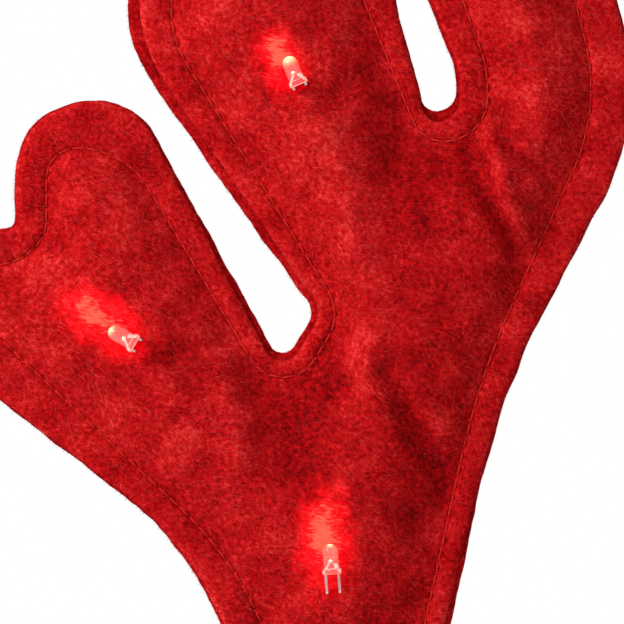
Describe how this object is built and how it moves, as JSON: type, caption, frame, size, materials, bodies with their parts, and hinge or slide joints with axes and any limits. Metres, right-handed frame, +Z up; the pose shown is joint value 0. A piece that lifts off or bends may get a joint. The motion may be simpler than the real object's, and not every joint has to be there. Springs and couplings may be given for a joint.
{
  "type": "light-up reindeer antler headband",
  "caption": "Headband with two padded red felt antlers, each topstitched round its edge and carrying small clear lamps that glow red on the felt.",
  "frame": {"origin": "on the surface that the band stands on, midway between the band's two tips", "axes": "+Z up, -Y the front that carries the lamps, +X to the viewer's right"},
  "size_m": [0.3262, 0.027, 0.303],
  "materials": {
    "red_felt": "fuzzy needle felt",
    "dark_red_felt": "fuzzy needle felt, back layer",
    "white_filling": "soft wadding",
    "clear_lamp": "clear cast resin, lit from inside",
    "tinned_wire": "tinned wire"
  },
  "bodies": {
    "root": {"head_band": "red_felt", "left_antler_front_felt": "red_felt", "left_antler_back_felt": "dark_red_felt", "left_antler_filling": "white_filling", "left_cuff": "red_felt", "left_low_lamp": "clear_lamp", "left_low_lead_a": "tinned_wire", "left_low_lead_b": "tinned_wire", "left_side_lamp": "clear_lamp", "left_side_lead_a": "tinned_wire", "left_side_lead_b": "tinned_wire", "left_top_lamp": "clear_lamp", "left_top_lead_a": "tinned_wire", "left_top_lead_b": "tinned_wire", "right_antler_front_felt": "red_felt", "right_antler_back_felt": "dark_red_felt", "right_antler_filling": "white_filling", "right_cuff": "red_felt", "right_low_lamp": "clear_lamp", "right_low_lead_a": "tinned_wire", "right_low_lead_b": "tinned_wire", "right_side_lamp": "clear_lamp", "right_side_lead_a": "tinned_wire", "right_side_lead_b": "tinned_wire", "right_top_lamp": "clear_lamp", "right_top_lead_a": "tinned_wire", "right_top_lead_b": "tinned_wire"}
  },
  "joints": []
}
